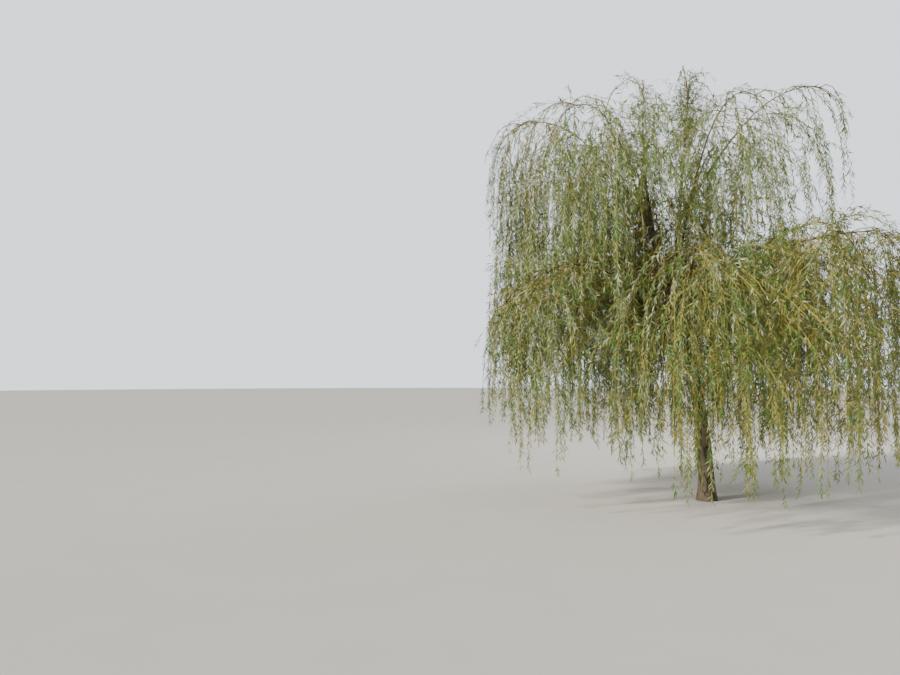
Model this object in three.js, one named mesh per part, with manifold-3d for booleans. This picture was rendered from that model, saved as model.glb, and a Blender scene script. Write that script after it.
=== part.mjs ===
// Weeping willow, a young field-grown tree: a leaning trunk that forks into two leaders, boughs that rise and
// arch over, and masses of foliage that hang from them around the open space under the crown.
// Millimetres, +Z up. The origin is the middle of the flat cut under the trunk, +X is to the right and -Y is
// towards the viewer. A bearing is in degrees from +X, anticlockwise seen from above.

import * as THREE from "three";
import { mergeVertices } from "three/addons/utils/BufferGeometryUtils.js";
import Module from "manifold-3d";

const wasm = await Module();
wasm.setup();

// Driving sizes
const TREE_HEIGHT = 5500;
const CROWN_RADIUS = 2700; // of the low curtain, from the low axis to its farthest strands
const TRUNK_HEIGHT = 2500;
const TRUNK_LEAN = 390; // how far the fork stands to the left of the foot
const FOOT_RADIUS = 132;
const FORK_RADIUS = 62;

// The foliage keeps to spaces round two upright axes: one for the low curtain, the other for the upper crown
const LOW_AXIS = new THREE.Vector2(-150, 0);
const HIGH_AXIS = new THREE.Vector2(-TRUNK_LEAN, 0);
const SPACE_MARGIN = 10; // kept free inside every face of a space
const STRAND_REACH = 140; // how far strands go beyond their limb's reach
const GROUND_CLEARANCE = 80;

// The surface between the upper crown and what hangs under it: level over a circle that lies to the right, and
// sloping down outside it, so that the upper crown reaches lowest on the left
const ROOF = { axis: new THREE.Vector2(2200, 500), height: 3800, flat: 900, slope: 0.22 };

// Each tier has its space, from an inner to an outer radius and cut into equal sectors from the first one's
// bearing, the radius of its limbs at root and tip, and how its foliage grows: strands to a stem, how long
// and how far apart they are, how fast they bend over (radians for each metre), how steeply they set off and
// how far to the side (degrees)
const TIERS = {
  low: {
    axis: LOW_AXIS, inner: 1540, outer: CROWN_RADIUS, sectors: 8, first: 0, limb: [26, 11],
    strands: 7, length: 3400, apart: 270, droop: [1.6, 4.2], lift: [0, 40], spread: [15, 90],
  },
  inner: {
    axis: LOW_AXIS, inner: 450, outer: 1480, sectors: 4, first: 20, limb: [19, 9],
    strands: 6, length: 3400, apart: 270, droop: [2, 5], lift: [0, 40], spread: [30, 120],
  },
  high: {
    axis: HIGH_AXIS, inner: 740, outer: 2420, sectors: 6, first: 0, limb: [25, 10],
    strands: 11, length: 2900, apart: 270, droop: [1.6, 4.2], lift: [0, 55], spread: [15, 100],
  },
  top: {
    axis: HIGH_AXIS, inner: 0, outer: 700, sectors: 2, first: 0, limb: [50, 18],
    strands: 9, length: 1100, apart: 100, droop: [2.5, 5], lift: [45, 75], spread: [0, 0],
  },
};
const TOP_TIER_FLOOR = 3900;

// Limbs
const PIECE_GAP = 0.3; // between a limb and what it grows from
const TRUNK_SIDES = 14;
const TRUNK_RINGS = 15;
const FLARE = { height: 170, swell: 0.32, lobes: 5, lobeDepth: 0.1 };
const BOUGH_SIDES = 6;
const BOUGH_RINGS = 6;
const LEADER_SIDES = 8;
const LEADER_RINGS = 8;
const LIMB_CLEARANCE = 6; // between foliage and any limb
const SMALLEST_DETAIL = 0.2; // kept where twigs and leaves are fused
const BOUGH_TURN = 30; // degrees by which boughs set off to one side or the other of their bearing

// Foliage
const TWIG_SIDES = 3;
const STEM_RINGS = 6;
const STEM_TIP_RADIUS = 5;
const STRAND_RADIUS = [6.5, 4]; // root, tip
const STRAND_STEPS = 24;
const STRAND_STATIONS = [0, 3, 7, 24]; // the steps that the solid keeps
const SHORTEST_STRAND = 500;
const TRIES = 12; // to grow each strand
const STRAND_TEST = 20; // a strand is tested against the limbs at every such length
const STRAND_ROOT_TESTS = 2; // not made, as the strand starts inside its stem
const STEM_FOOT = 0.06; // the share of a stem, next to its limb, that bears no strand
const HEM_VARIES = 300;
const LEAF_LENGTH = 450; // one leaf stands for a spray
const LEAF_WIDTH = 84;
const LEAF_THICKNESS = 15;
const LEAF_BELLY = 0.42; // where along the leaf it is widest
const LEAF_SPREAD = 20; // degrees between leaf and strand
const LEAF_PITCH = 500; // along a strand
const LEAF_DROOP = 0.5;
const LEAF_TESTS = [0.2, 0.4, 0.6, 0.8, 1]; // where along it a leaf is tested against the limbs
const LEAF_APART = 120; // between the middles of a mass's leaves
const LEAF_SINK = 0.5; // of the strand's radius, behind its middle
const GOLDEN_ANGLE = 137.5; // between one strand and the next round an upright leader
const BOUGH_SEED = 5;
const FIRST_MASS_SEED = 41;

// Each bough leaves its parent at the height fork, rises on its bearing to its crest, and its mass of foliage
// carries on from it to reach and hangs down to hem
const BOUGHS = [
  { tier: "low", side: "right", bearing: 4, fork: 2330, crest: [1980, 3270], reach: 2560, hem: 330 },
  { tier: "low", side: "back_right", bearing: 48, fork: 2060, crest: [1850, 3250], reach: 2500, hem: 330 },
  { tier: "low", side: "back", bearing: 86, fork: 2250, crest: [1850, 3250], reach: 2520, hem: 380 },
  { tier: "low", side: "back_left", bearing: 133, fork: 2010, crest: [1750, 2900], reach: 2500, hem: 380 },
  { tier: "low", side: "left", bearing: 183, fork: 2200, crest: [1780, 2800], reach: 2540, hem: 500 },
  { tier: "low", side: "front_left", bearing: 222, fork: 2090, crest: [1750, 2850], reach: 2500, hem: 330 },
  { tier: "low", side: "front", bearing: 273, fork: 2070, crest: [1750, 2880], reach: 2400, hem: 150 },
  { tier: "low", side: "front_right", bearing: 312, fork: 1980, crest: [1850, 3120], reach: 2500, hem: 200 },
  { tier: "inner", side: "right", bearing: 20, fork: 2200, crest: [980, 3200], reach: 1380, hem: 200 },
  { tier: "inner", side: "back", bearing: 105, fork: 2380, crest: [950, 3250], reach: 1380, hem: 400 },
  { tier: "inner", side: "left", bearing: 205, fork: 2160, crest: [1000, 2980], reach: 1400, hem: 300 },
  { tier: "inner", side: "front", bearing: 292, fork: 2250, crest: [920, 2850], reach: 1350, hem: 120 },
  { tier: "high", side: "right", bearing: 355, fork: 3520, crest: [1620, 5020], reach: 2050, hem: 0 },
  { tier: "high", side: "back_right", bearing: 57, fork: 3180, crest: [1450, 4850], reach: 2150, hem: 0 },
  { tier: "high", side: "back_left", bearing: 124, fork: 3330, crest: [1550, 4950], reach: 2280, hem: 0 },
  { tier: "high", side: "left", bearing: 184, fork: 3450, crest: [1800, 4980], reach: 2360, hem: 0 },
  { tier: "high", side: "front_left", bearing: 236, fork: 3080, crest: [1500, 4700], reach: 2280, hem: 0 },
  { tier: "high", side: "front_right", bearing: 303, fork: 2980, crest: [1400, 4650], reach: 2050, hem: 0 },
];

const UP = new THREE.Vector3(0, 0, 1);
const at = (x, y, z) => new THREE.Vector3(x, y, z);
const radians = THREE.MathUtils.degToRad;
const mix = THREE.MathUtils.lerp;
const heading = (bearing) => at(Math.cos(radians(bearing)), Math.sin(radians(bearing)), 0);

// Numbers from 0 to 1 that are the same on every run
function seeded(seed) {
  let state = seed >>> 0;
  return () => {
    state = (Math.imul(state, 1664525) + 1013904223) >>> 0;
    return state / 4294967296;
  };
}

// A station is one ring of a limb: its middle, the direction that the limb takes there, and its radius
function stationsOn(curve, from, to, rings, radiusAt) {
  return Array.from({ length: rings + 1 }, (_, i) => {
    const along = mix(from, to, i / rings);
    const radius = radiusAt(i / rings);
    return { point: curve.getPointAt(along), tangent: curve.getTangentAt(along), radius };
  });
}

function stationsThrough(points, radiusAt) {
  const last = points.length - 1;
  return points.map((point, i) => {
    const tangent = points[Math.min(i + 1, last)].clone().sub(points[Math.max(i - 1, 0)]).normalize();
    return { point, tangent, radius: radiusAt(i / last) };
  });
}

// A closed cylinder bent along stations. swell is the radius's factor at an angle round the limb.
function limbSolid(stations, sides, swell = () => 1) {
  const rings = stations.length - 1;
  const geometry = new THREE.CylinderGeometry(1, 1, 1, sides, rings);
  let across = Math.abs(stations[0].tangent.z) < 0.9 ? UP.clone() : at(1, 0, 0);
  const frames = stations.map(({ tangent }) => {
    across = across.clone().addScaledVector(tangent, -across.dot(tangent)).normalize();
    return { across, aside: across.clone().cross(tangent) };
  });
  const position = geometry.getAttribute("position");
  for (let i = 0; i < position.count; i++) {
    const ring = Math.round((position.getY(i) + 0.5) * rings);
    const [x, z] = [position.getX(i), position.getZ(i)];
    const { point, radius } = stations[ring];
    const { across: u, aside: v } = frames[ring];
    const size = radius * swell(Math.atan2(z, x), point.z);
    const moved = point.clone().addScaledVector(u, x * size).addScaledVector(v, z * size);
    position.setXYZ(i, moved.x, moved.y, moved.z);
  }
  return solidOf(geometry);
}

function solidOf(geometry) {
  const bare = new THREE.BufferGeometry().setAttribute("position", geometry.getAttribute("position"));
  bare.setIndex(geometry.index);
  const merged = mergeVertices(bare, 1e-3);
  const index = merged.index.array;
  const kept = [];
  for (let i = 0; i < index.length; i += 3) {
    const [a, b, c] = index.slice(i, i + 3);
    if (a !== b && b !== c && c !== a) kept.push(a, b, c);
  }
  const vertProperties = Float32Array.from(merged.getAttribute("position").array);
  return new wasm.Manifold(new wasm.Mesh({ numProp: 3, vertProperties, triVerts: Uint32Array.from(kept) }));
}

// The largest body of a solid, without the scraps that a cut leaves
function largest(solid) {
  return solid.decompose().reduce((best, body) => (body.volume() > best.volume() ? body : best));
}

function meshOf(name, solid, material) {
  const { vertProperties, triVerts } = solid.getMesh();
  const geometry = new THREE.BufferGeometry();
  geometry.setAttribute("position", new THREE.BufferAttribute(vertProperties, 3));
  geometry.setIndex(new THREE.BufferAttribute(triVerts, 1));
  geometry.computeVertexNormals();
  const mesh = new THREE.Mesh(geometry, material);
  mesh.name = name;
  return mesh;
}

// The limbs made so far, each with its solid grown by the gap, so that the next one can be cut clear of it,
// and the short straight stretches of their axes, which foliage keeps clear of
const limbs = [];
const axes = [];

function addLimb(name, stations, sides, swell) {
  const wider = stations.map((s) => ({ ...s, radius: s.radius + PIECE_GAP, point: s.point.clone() }));
  wider[0].point.addScaledVector(wider[0].tangent, -PIECE_GAP);
  wider.at(-1).point.addScaledVector(wider.at(-1).tangent, PIECE_GAP);
  const grown = limbSolid(wider, sides, swell);
  let solid = limbSolid(stations, sides, swell);
  for (const limb of limbs) solid = solid.subtract(limb.grown);
  limbs.push({ name, solid: largest(solid), grown });
  for (let i = 1; i < stations.length; i++) {
    const [a, b] = [stations[i - 1], stations[i]];
    axes.push({ line: new THREE.Line3(a.point, b.point), radius: Math.max(a.radius, b.radius) });
  }
}

// Where along a rising curve it reaches a height
function heightOn(curve, height) {
  let along = 0;
  while (along < 1 && curve.getPointAt(along).z < height) along += 0.005;
  return along;
}

// The trunk stands upright on its cut and leans more and more towards the fork
const trunkCurve = new THREE.CubicBezierCurve3(
  at(0, 0, 0),
  at(0, 0, 0.32 * TRUNK_HEIGHT),
  at(-0.3 * TRUNK_LEAN, 0, 0.7 * TRUNK_HEIGHT),
  at(-TRUNK_LEAN, 20, TRUNK_HEIGHT),
);

// Root flare: the foot swells into lobes, and both die away with height
function trunkSwell(angle, height) {
  const foot = Math.exp(-height / FLARE.height);
  return 1 + foot * (FLARE.swell + FLARE.lobeDepth * Math.cos(FLARE.lobes * angle + 0.6));
}

// Rings stand closer together in the flare
function makeTrunk() {
  const footRadius = FOOT_RADIUS / (1 + FLARE.swell);
  const stations = Array.from({ length: TRUNK_RINGS + 1 }, (_, i) => {
    const along = (i / TRUNK_RINGS) ** 1.5;
    const radius = mix(footRadius, FORK_RADIUS, along ** 0.8);
    return { point: trunkCurve.getPointAt(along), tangent: trunkCurve.getTangentAt(along), radius };
  });
  stations[0].tangent.copy(UP); // so the cut is level
  addLimb("trunk", stations, TRUNK_SIDES, trunkSwell);
}

// The two leaders: the left one carries the line of the trunk on, and the other leaves it just below the fork
const LEADERS = {
  left: new THREE.CubicBezierCurve3(
    trunkCurve.getPointAt(0.97),
    at(-580, 30, 3100),
    at(-780, 40, 4000),
    at(-690, 40, TREE_HEIGHT - 90),
  ),
  centre: new THREE.CubicBezierCurve3(
    trunkCurve.getPointAt(0.9),
    at(-360, -60, 2950),
    at(-230, 0, 4000),
    at(-110, 0, TREE_HEIGHT - 15),
  ),
};

// A bough rises to its crest and falls to its reach in one smooth line
function boughCurve(bough, turn) {
  const { axis } = TIERS[bough.tier];
  const out = heading(bough.bearing);
  const [crestRadius, crestHeight] = bough.crest;
  const parent = parentOf(bough);
  const root = parent.getPointAt(heightOn(parent, bough.fork));
  const crest = at(axis.x, axis.y, crestHeight).addScaledVector(out, crestRadius);
  const fall = bough.reach - crestRadius;
  const end = at(axis.x, axis.y, crestHeight - 1.6 * fall).addScaledVector(out, bough.reach);
  const run = crest.clone().sub(root).setZ(0).length();
  const rise = crestHeight - root.z;
  const sidelong = heading(bough.bearing + turn);
  const path = new THREE.CurvePath();
  path.add(
    new THREE.CubicBezierCurve3(
      root,
      root.clone().addScaledVector(sidelong, 0.35 * run).addScaledVector(UP, 0.55 * rise),
      crest.clone().addScaledVector(out, -0.4 * run),
      crest,
    ),
  );
  path.add(
    new THREE.CubicBezierCurve3(
      crest,
      crest.clone().addScaledVector(out, 0.6 * fall),
      end.clone().addScaledVector(UP, 0.8 * fall),
      end,
    ),
  );
  return path;
}

// Low boughs leave the trunk, and the others the leader on their side
function parentOf(bough) {
  if (bough.tier === "low") return trunkCurve;
  return Math.cos(radians(bough.bearing)) > 0.2 ? LEADERS.centre : LEADERS.left;
}

// A mass keeps to a sector of its tier's space, and goes little further out than its limb's reach
function spaceOf(tier, bearing, reach = Infinity) {
  const { sectors, first } = TIERS[tier];
  const outer = Math.min(TIERS[tier].outer, reach + STRAND_REACH);
  const step = 360 / sectors;
  const middle = step * Math.round((bearing - first) / step) + first;
  return { ...TIERS[tier], tier, outer, middle: radians(middle), halfAngle: Math.PI / sectors };
}

function roofAt(point) {
  const radius = Math.hypot(point.x - ROOF.axis.x, point.y - ROOF.axis.y);
  return ROOF.height - ROOF.slope * Math.max(0, radius - ROOF.flat);
}

// The lowest and the highest point of a space under or over a point
function heightsOf(space, point) {
  if (space.tier === "top") return [TOP_TIER_FLOOR, TREE_HEIGHT];
  return space.tier === "high" ? [roofAt(point), TREE_HEIGHT] : [GROUND_CLEARANCE, roofAt(point)];
}

function isInside(space, point, margin = SPACE_MARGIN) {
  const [floor, ceiling] = heightsOf(space, point);
  const [x, y] = [point.x - space.axis.x, point.y - space.axis.y];
  const radius = Math.hypot(x, y);
  const turn = Math.atan2(y, x) - space.middle;
  const aside = space.halfAngle - Math.abs(Math.atan2(Math.sin(turn), Math.cos(turn)));
  return (
    point.z > floor + margin &&
    point.z < ceiling - margin &&
    radius < space.outer - margin &&
    (space.inner === 0 || radius > space.inner + margin) &&
    radius * Math.sin(Math.min(aside, Math.PI / 2)) > margin
  );
}

function isClearOfLimbs(point, radius) {
  const nearest = new THREE.Vector3();
  return axes.every(({ line, radius: thick }) => {
    line.closestPointToPoint(point, true, nearest);
    return nearest.distanceTo(point) > radius + thick + LIMB_CLEARANCE;
  });
}

// A shoot sets off in one direction and bends over until it hangs
function weep(start, direction, length, droop, random) {
  const step = length / STRAND_STEPS;
  const along = direction.clone();
  const points = [start.clone()];
  for (let i = 0; i < STRAND_STEPS; i++) {
    const sway = at(random() - 0.5, random() - 0.5, 0).multiplyScalar(0.12);
    along.addScaledVector(UP, (-droop * step) / 1000).add(sway).normalize();
    points.push(points[i].clone().addScaledVector(along, step));
  }
  return points;
}

// The steps of a shoot that leave room for one more leaf in the space above the hem
function usableSteps(points, space, hem) {
  const leafTip = new THREE.Vector3();
  const ends = points.findIndex((point) => {
    leafTip.copy(point).addScaledVector(UP, -LEAF_LENGTH);
    return !isInside(space, point) || !isInside(space, leafTip) || leafTip.z < hem;
  });
  return ends < 0 ? STRAND_STEPS : Math.max(0, ends - 1);
}

// Whether a strand misses all limbs, apart from its root
function strandIsClear(path) {
  const tests = Math.ceil(path.getLength() / STRAND_TEST);
  const points = path.getSpacedPoints(tests).slice(STRAND_ROOT_TESTS);
  return points.every((point) => isClearOfLimbs(point, STRAND_RADIUS[0]));
}

function pathThrough(points) {
  const path = new THREE.CurvePath();
  for (let i = 1; i < points.length; i++) path.add(new THREE.LineCurve3(points[i - 1], points[i]));
  return path;
}

// A leaf blade is a flat three-sided double cone: root and tip are points, and its belly is a low triangle
function leafSolid(root, along, normal, length) {
  const profile = [new THREE.Vector2(0, 0), new THREE.Vector2(1, LEAF_BELLY), new THREE.Vector2(0, 1)];
  const geometry = new THREE.LatheGeometry(profile, 3);
  const across = along.clone().cross(normal).normalize();
  const face = across.clone().cross(along).normalize();
  across.multiplyScalar(LEAF_WIDTH / Math.sqrt(3));
  face.multiplyScalar(LEAF_THICKNESS / 1.5);
  const place = new THREE.Matrix4().makeBasis(across, along.clone().multiplyScalar(length), face);
  geometry.applyMatrix4(place.setPosition(root));
  return { solid: solidOf(geometry), points: Array.from({ length: 10 }, (_, i) => vertexOf(geometry, i)) };
}

function vertexOf(geometry, i) {
  return new THREE.Vector3().fromBufferAttribute(geometry.getAttribute("position"), i);
}

// A leaf is kept only where it stays in its space, apart from other leaves, and touches no limb
function leafFits(leaf, root, tip, space, middles) {
  const middle = root.clone().lerp(tip, LEAF_BELLY);
  if (middles.some((other) => other.distanceTo(middle) < LEAF_APART)) return false;
  if (!leaf.points.every((point) => isInside(space, point))) return false;
  return LEAF_TESTS.every((share) => isClearOfLimbs(root.clone().lerp(tip, share), LEAF_WIDTH / 2));
}

// Leaves stand along a strand in turn on one side and the other and droop from it, and one ends it. One that
// doesn't fit tries another side.
function addLeaves(stations, space, random, pieces, middles) {
  const path = pathThrough(stations.map((station) => station.point));
  const count = Math.round(path.getLength() / LEAF_PITCH);
  const first = random() * 360;
  for (let i = 0; i <= count; i++) {
    const share = i === count ? 0.995 : (i + 0.2 + 0.5 * random()) / count;
    const spread = i === count ? 0 : radians(LEAF_SPREAD * (0.7 + 0.6 * random()));
    const length = LEAF_LENGTH * (0.8 + 0.4 * random());
    const bearing = first + 180 * i + 60 * (random() - 0.5);
    const roll = random() * Math.PI;
    const tangent = path.getTangentAt(share);
    const radius = mix(stations[0].radius, stations.at(-1).radius, share);
    for (const turn of [0, 180, 90]) {
      const side = tangent.clone().cross(heading(bearing + turn)).normalize();
      const along = tangent.clone().multiplyScalar(Math.cos(spread)).addScaledVector(side, Math.sin(spread));
      along.addScaledVector(UP, -LEAF_DROOP).normalize();
      const root = path.getPointAt(share).addScaledVector(along, -LEAF_SINK * radius);
      const tip = root.clone().addScaledVector(along, length);
      const leaf = leafSolid(root, along, side.applyAxisAngle(along, roll), length);
      if (leafFits(leaf, root, tip, space, middles)) {
        pieces.push(leaf.solid);
        middles.push(root.lerp(tip, LEAF_BELLY));
        break;
      }
    }
  }
}

// Strands leave the stem in turn on its two sides, or all round it where it stands upright
function strandStart(curve, entry, space, i, random) {
  const between = (range) => mix(range[0], range[1], random());
  const share = ((i % space.strands) + random()) / space.strands;
  const away = radians(between(space.spread)) * (1 - 0.4 * share) * (i % 2 ? 1 : -1);
  const climb = radians(between(space.lift));
  const along = mix(entry, 1, STEM_FOOT + (1 - STEM_FOOT) * share);
  const flat = curve.getTangentAt(along).setZ(0).normalize();
  const ahead = space.tier === "top" ? heading(i * GOLDEN_ANGLE) : flat.applyAxisAngle(UP, away);
  const direction = ahead.multiplyScalar(Math.cos(climb)).addScaledVector(UP, Math.sin(climb));
  return { point: curve.getPointAt(along), direction, droop: between(space.droop) };
}

// The rings of one strand, or none where it is too short, touches a limb or hangs too close to another
function growStrand(start, space, hem, tips, random) {
  const points = weep(start.point, start.direction, space.length, start.droop, random);
  const steps = usableSteps(points, space, hem);
  const tip = points[steps];
  if ((steps / STRAND_STEPS) * space.length < SHORTEST_STRAND) return null;
  if (tips.some((other) => Math.hypot(other.x - tip.x, other.y - tip.y) < space.apart)) return null;
  const kept = [...STRAND_STATIONS.filter((step) => step < steps - 1), steps].map((step) => points[step]);
  if (!strandIsClear(pathThrough(kept))) return null;
  tips.push(tip);
  return stationsThrough(kept, (share) => mix(...STRAND_RADIUS, share));
}

// A mass of foliage: a stem that carries its limb on, strands that weep from it, and their leaves
function makeMass({ curve, entry, space, hem, seed }) {
  const random = seeded(seed);
  const start = entry + PIECE_GAP / curve.getLength();
  const radiusAt = (share) => mix(space.limb[1], STEM_TIP_RADIUS, share ** 0.5);
  const stem = stationsOn(curve, start, 1, STEM_RINGS, radiusAt);
  const pieces = [limbSolid(stem, TWIG_SIDES)];
  const middles = [];
  const tips = [];
  addLeaves(stem.slice(1), space, random, pieces, middles);
  for (let i = 0; tips.length < space.strands && i < TRIES * space.strands; i++) {
    const root = strandStart(curve, start, space, i, random);
    const strand = growStrand(root, space, hem + HEM_VARIES * random(), tips, random);
    if (!strand) continue;
    pieces.push(limbSolid(strand, TWIG_SIDES));
    addLeaves(strand, space, random, pieces, middles);
  }
  return largest(pieces.reduce((whole, piece) => whole.add(piece))).asOriginal().simplify(SMALLEST_DETAIL);
}

// Where a limb's curve enters the space of its mass
function entryOf(curve, space) {
  let along = 0.02;
  while (along < 0.95 && !isInside(space, curve.getPointAt(along), 2 * SPACE_MARGIN)) along += 0.005;
  return along;
}

function makeTree() {
  const bark = new THREE.MeshStandardMaterial({ color: 0x6f6355, roughness: 0.9, metalness: 0 });
  const foliage = new THREE.MeshStandardMaterial({ color: 0x8f9550, roughness: 0.65, metalness: 0 });
  const tree = new THREE.Group();
  const masses = [];
  makeTrunk();

  for (const [side, curve] of Object.entries(LEADERS)) {
    const space = spaceOf("top", side === "left" ? 180 : 0);
    const entry = heightOn(curve, TOP_TIER_FLOOR + 2 * SPACE_MARGIN);
    const stations = stationsOn(curve, 0, entry, LEADER_RINGS, (share) => mix(...space.limb, share));
    addLimb(`leader_${side}`, stations, LEADER_SIDES);
    masses.push({ name: `foliage_top_${side}`, curve, entry, space, hem: 0 });
  }

  const random = seeded(BOUGH_SEED);
  for (const bough of BOUGHS) {
    const { tier, side, bearing, reach, hem } = bough;
    const curve = boughCurve(bough, BOUGH_TURN * (random() - 0.5));
    const space = spaceOf(tier, bearing, reach);
    const entry = entryOf(curve, space);
    const stations = stationsOn(curve, 0, entry, BOUGH_RINGS, (share) => mix(...space.limb, share));
    addLimb(`bough_${tier}_${side}`, stations, BOUGH_SIDES);
    masses.push({ name: `foliage_${tier}_${side}`, curve, entry, space, hem });
  }

  for (const { name, solid } of limbs) tree.add(meshOf(name, solid, bark));
  masses.forEach((mass, i) => {
    tree.add(meshOf(mass.name, makeMass({ ...mass, seed: FIRST_MASS_SEED + i }), foliage));
  });
  return tree;
}

export default makeTree();
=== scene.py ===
# Weeping willow: the bark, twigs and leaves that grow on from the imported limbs.
# Metres, +Z up, +X to the right, -Y towards the viewer, origin in the middle of the cut under the trunk.
import math

import bpy
import numpy as np
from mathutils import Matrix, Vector


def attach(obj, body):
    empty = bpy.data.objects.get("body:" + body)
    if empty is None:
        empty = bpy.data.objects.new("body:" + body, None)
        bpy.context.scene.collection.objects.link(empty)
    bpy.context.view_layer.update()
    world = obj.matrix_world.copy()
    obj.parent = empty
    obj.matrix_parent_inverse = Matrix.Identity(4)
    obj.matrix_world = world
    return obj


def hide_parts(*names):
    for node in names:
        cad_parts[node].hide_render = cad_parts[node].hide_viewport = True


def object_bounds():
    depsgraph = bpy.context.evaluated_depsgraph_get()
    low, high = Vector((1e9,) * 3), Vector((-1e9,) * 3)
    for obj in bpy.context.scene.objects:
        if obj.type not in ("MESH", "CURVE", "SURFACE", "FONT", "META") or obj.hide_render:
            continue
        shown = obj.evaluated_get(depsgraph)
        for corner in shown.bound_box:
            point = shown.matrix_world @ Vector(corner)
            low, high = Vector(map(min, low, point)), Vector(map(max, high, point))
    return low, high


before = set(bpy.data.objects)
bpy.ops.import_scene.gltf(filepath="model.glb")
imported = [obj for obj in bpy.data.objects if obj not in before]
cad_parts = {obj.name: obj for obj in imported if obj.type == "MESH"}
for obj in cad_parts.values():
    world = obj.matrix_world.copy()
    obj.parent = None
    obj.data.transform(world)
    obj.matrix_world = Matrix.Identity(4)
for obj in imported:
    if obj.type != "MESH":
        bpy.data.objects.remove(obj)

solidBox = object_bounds()
print("frame: %d solids" % len(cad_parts))

# The plant's own sizes
trunk = {
    "height": 2.5,
    "lean": 0.39,  # how far the fork stands to the left of the foot
    "footRadius": 0.132,
    "forkRadius": 0.062,
    "flareHeight": 0.17,
    "flareSwell": 0.32,
    "flareLobes": 5,
    "lobeDepth": 0.1,
}
crown = {
    "height": 5.5,
    "lowAxis": (-0.15, 0.0),
    "highAxis": (-0.39, 0.0),
    "strandReach": 0.14,  # how far strands go beyond their limb's reach
    "groundClearance": 0.08,
    "topFloor": 3.9,
    "boughTurn": 30,  # degrees
    "boughSeed": 5,
    "firstMassSeed": 41,
}

# The surface between the upper crown and what hangs under it, lowest on the left
roof = {"axis": (2.2, 0.5), "height": 3.8, "flat": 0.9, "slope": 0.22}

# Each tier's space round its axis and the bearing of its first sector, its limbs' radius at root and tip, and
# how its strands grow
tiers = {
    "low": dict(
        axis=crown["lowAxis"], inner=1.54, outer=2.7, sectors=8, first=0, limb=(0.026, 0.011), strands=7,
        length=3.4, apart=0.27, droop=(1.6, 4.2), lift=(0, 40), spread=(15, 90),
    ),
    "inner": dict(
        axis=crown["lowAxis"], inner=0.45, outer=1.48, sectors=4, first=20, limb=(0.019, 0.009), strands=6,
        length=3.4, apart=0.27, droop=(2, 5), lift=(0, 40), spread=(30, 120),
    ),
    "high": dict(
        axis=crown["highAxis"], inner=0.74, outer=2.42, sectors=6, first=0, limb=(0.025, 0.01), strands=11,
        length=2.9, apart=0.27, droop=(1.6, 4.2), lift=(0, 55), spread=(15, 100),
    ),
    "top": dict(
        axis=crown["highAxis"], inner=0, outer=0.7, sectors=2, first=0, limb=(0.05, 0.018), strands=9,
        length=1.1, apart=0.1, droop=(2.5, 5), lift=(45, 75), spread=(0, 0),
    ),
}

# Each bough: tier, side, bearing, the height where it leaves its parent, its crest's radius and height, its
# reach, its hem, and how many fine shoots its mass carries
boughs = [
    ("low", "right", 4, 2.33, (1.98, 3.27), 2.56, 0.33, 112),
    ("low", "back_right", 48, 2.06, (1.85, 3.25), 2.5, 0.33, 115),
    ("low", "back", 86, 2.25, (1.85, 3.25), 2.52, 0.38, 125),
    ("low", "back_left", 133, 2.01, (1.75, 2.9), 2.5, 0.38, 102),
    ("low", "left", 183, 2.2, (1.78, 2.8), 2.54, 0.5, 98),
    ("low", "front_left", 222, 2.09, (1.75, 2.85), 2.5, 0.33, 82),
    ("low", "front", 273, 2.07, (1.75, 2.88), 2.4, 0.15, 62),
    ("low", "front_right", 312, 1.98, (1.85, 3.12), 2.5, 0.2, 104),
    ("inner", "right", 20, 2.2, (0.98, 3.2), 1.38, 0.2, 95),
    ("inner", "back", 105, 2.38, (0.95, 3.25), 1.38, 0.4, 100),
    ("inner", "left", 205, 2.16, (1.0, 2.98), 1.4, 0.3, 105),
    ("inner", "front", 292, 2.25, (0.92, 2.85), 1.35, 0.12, 80),
    ("high", "right", 355, 3.52, (1.62, 5.02), 2.05, 0, 20),
    ("high", "back_right", 57, 3.18, (1.45, 4.85), 2.15, 0, 42),
    ("high", "back_left", 124, 3.33, (1.55, 4.95), 2.28, 0, 122),
    ("high", "left", 184, 3.45, (1.8, 4.98), 2.36, 0, 196),
    ("high", "front_left", 236, 3.08, (1.5, 4.7), 2.28, 0, 148),
    ("high", "front_right", 303, 2.98, (1.4, 4.65), 2.05, 0, 54),
]
topShoots = {"left": 62, "centre": 96}  # of each leader

# How a bough bends: shares of its run, of its rise and of its fall
arch = {
    "setOut": 0.35, "setUp": 0.55, "beforeCrest": 0.4, "pastCrest": 0.6, "aboveTip": 0.8, "steepness": 1.6,
}


def seeded(seed):
    def draw():
        nonlocal seed
        seed = (seed * 1664525 + 1013904223) % 4294967296
        return seed / 4294967296

    return draw


def mix(a, b, share):
    return a * (1 - share) + b * share


def unit(vector):
    return vector / max(np.linalg.norm(vector), 1e-9)


def at(x, y, z):
    return np.array([x, y, z], float)


def heading(degrees):
    return at(math.cos(math.radians(degrees)), math.sin(math.radians(degrees)), 0)


up = at(0, 0, 1)
spiralShare, spiralTurn = 0.618, 137.5  # steps that spread numbers evenly: a share, and degrees


def aimed(out, climb):
    return out * math.cos(climb) + up * math.sin(climb)


def bezier(a, b, c, d, steps=200):
    t = np.linspace(0, 1, steps + 1)[:, None]
    return (1 - t) ** 3 * a + 3 * (1 - t) ** 2 * t * b + 3 * (1 - t) * t**2 * c + t**3 * d


def awayFrom(axis, points):
    return np.hypot(*(points[:, :2] - axis).T)


def waysAlong(points):
    # Which way a line runs at each of its points
    ways = np.gradient(points, axis=0)
    return ways / np.linalg.norm(ways, axis=1)[:, None]


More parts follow.
